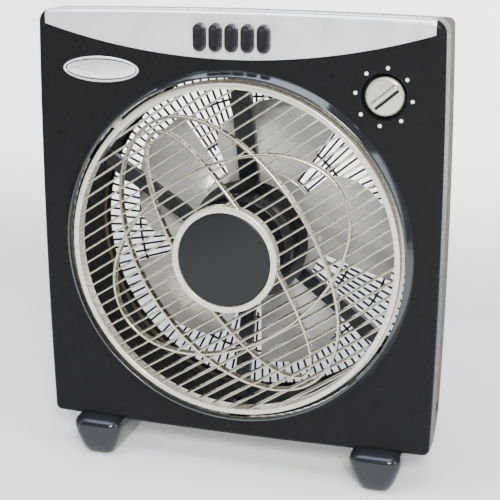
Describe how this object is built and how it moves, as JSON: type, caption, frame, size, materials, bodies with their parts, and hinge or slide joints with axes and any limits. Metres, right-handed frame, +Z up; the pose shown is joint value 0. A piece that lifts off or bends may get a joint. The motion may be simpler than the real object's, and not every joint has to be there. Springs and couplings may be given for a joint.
{
  "type": "box fan",
  "caption": "Upright box fan with a rotating louvre grille, push buttons, a run-down timer knob and two moulded feet, with motor and impeller inside.",
  "frame": {"origin": "on the floor plane under the feet, at mid width and mid depth", "axes": "+Z up, the front grille faces -Y, +X is to the right seen from the front"},
  "size_m": [0.386, 0.128, 0.4425],
  "materials": {
    "gloss_black": "gloss",
    "satin_silver": "satin silver paint",
    "print_white": "printed",
    "switch_red": "moulded",
    "steel": "zinc plated",
    "button_black": "gloss",
    "champagne": "satin metallic paint",
    "cream": "moulded",
    "satin_black": "satin",
    "rubber": "matt",
    "blade_grey": "semi-gloss",
    "core_steel": "laminated",
    "copper": "enamelled wire",
    "motor_black": "satin",
    "bronze": "sintered",
    "rear_champagne": "satin metallic paint"
  },
  "bodies": {
    "housing": {"front_housing": "gloss_black", "control_panel": "satin_silver", "badge": "satin_silver", "dial_marks": "print_white", "switch_block": "switch_red", "button_springs": "steel", "timer_case": "cream", "timer_nut": "steel", "roller_pins": "steel", "louvre_motor": "cream", "stator": "core_steel", "motor_windings": "copper", "motor_front_shield": "motor_black", "motor_rear_shield": "motor_black", "motor_bushes": "bronze", "motor_bracket": "motor_black", "capacitor": "cream", "rear_housing": "rear_champagne", "rear_guard": "satin_black", "cord_gland": "rubber", "foot_left": "gloss_black", "foot_right": "gloss_black", "foot_pads": "rubber", "foot_screws": "steel", "housing_screws": "steel", "bracket_screws": "steel", "small_screws": "steel"},
    "grille": {"louvre_grille": "champagne", "hub_cap": "satin_black"},
    "fan": {"fan_blades": "blade_grey", "fan_hub": "satin_black", "fan_nut": "satin_black", "motor_shaft": "steel", "rotor": "core_steel"},
    "button_off": {"button_off": "button_black"},
    "button_low": {"button_low": "button_black"},
    "button_medium": {"button_medium": "button_black"},
    "button_high": {"button_high": "button_black"},
    "button_louvre": {"button_louvre": "button_black"},
    "timer": {"timer_knob": "champagne", "timer_shaft": "steel"},
    "guide_roller_1": {"guide_roller_1": "cream"},
    "guide_roller_2": {"guide_roller_2": "cream"},
    "guide_roller_3": {"guide_roller_3": "cream"},
    "drive": {"drive_roller": "rubber", "drive_shaft": "steel"}
  },
  "joints": [
    {"name": "grille_spin", "type": "hinge", "parent": "housing", "child": "grille", "pos_m": [0, -0.041, 0.22], "axis": [0, -1, 0], "continuous": true},
    {"name": "fan_spin", "type": "hinge", "parent": "housing", "child": "fan", "pos_m": [0, 0.029, 0.22], "axis": [0, -1, 0], "continuous": true},
    {"name": "button_off_press", "type": "slide", "parent": "housing", "child": "button_off", "axis": [0, 1, 0], "range_m": [0, 0.004], "stiffness_N_per_m": 300, "springref_m": -0.004},
    {"name": "button_low_press", "type": "slide", "parent": "housing", "child": "button_low", "axis": [0, 1, 0], "range_m": [0, 0.004], "stiffness_N_per_m": 300, "springref_m": -0.004},
    {"name": "button_medium_press", "type": "slide", "parent": "housing", "child": "button_medium", "axis": [0, 1, 0], "range_m": [0, 0.004], "stiffness_N_per_m": 300, "springref_m": -0.004},
    {"name": "button_high_press", "type": "slide", "parent": "housing", "child": "button_high", "axis": [0, 1, 0], "range_m": [0, 0.004], "stiffness_N_per_m": 300, "springref_m": -0.004},
    {"name": "button_louvre_press", "type": "slide", "parent": "housing", "child": "button_louvre", "axis": [0, 1, 0], "range_m": [0, 0.004], "stiffness_N_per_m": 300, "springref_m": -0.004},
    {"name": "timer_turn", "type": "hinge", "parent": "housing", "child": "timer", "pos_m": [0.1385, -0.029, 0.372], "axis": [0, -1, 0], "range_deg": [-270, 45]},
    {"name": "guide_roller_1_spin", "type": "hinge", "parent": "housing", "child": "guide_roller_1", "pos_m": [0.1171, -0.0285, 0.3371], "axis": [0, -1, 0], "continuous": true},
    {"name": "guide_roller_2_spin", "type": "hinge", "parent": "housing", "child": "guide_roller_2", "pos_m": [-0.1171, -0.0285, 0.3371], "axis": [0, -1, 0], "continuous": true},
    {"name": "guide_roller_3_spin", "type": "hinge", "parent": "housing", "child": "guide_roller_3", "pos_m": [-0.1171, -0.0285, 0.1029], "axis": [0, -1, 0], "continuous": true},
    {"name": "drive_spin", "type": "hinge", "parent": "housing", "child": "drive", "pos_m": [0.12417, -0.0285, 0.09583], "axis": [0, -1, 0], "continuous": true}
  ],
  "couplings": [
    {"joint": "guide_roller_1_spin", "follows": "grille_spin", "ratio": -40.325},
    {"joint": "guide_roller_2_spin", "follows": "grille_spin", "ratio": -40.325},
    {"joint": "guide_roller_3_spin", "follows": "grille_spin", "ratio": -40.325},
    {"joint": "drive_spin", "follows": "grille_spin", "ratio": -11.521}
  ]
}
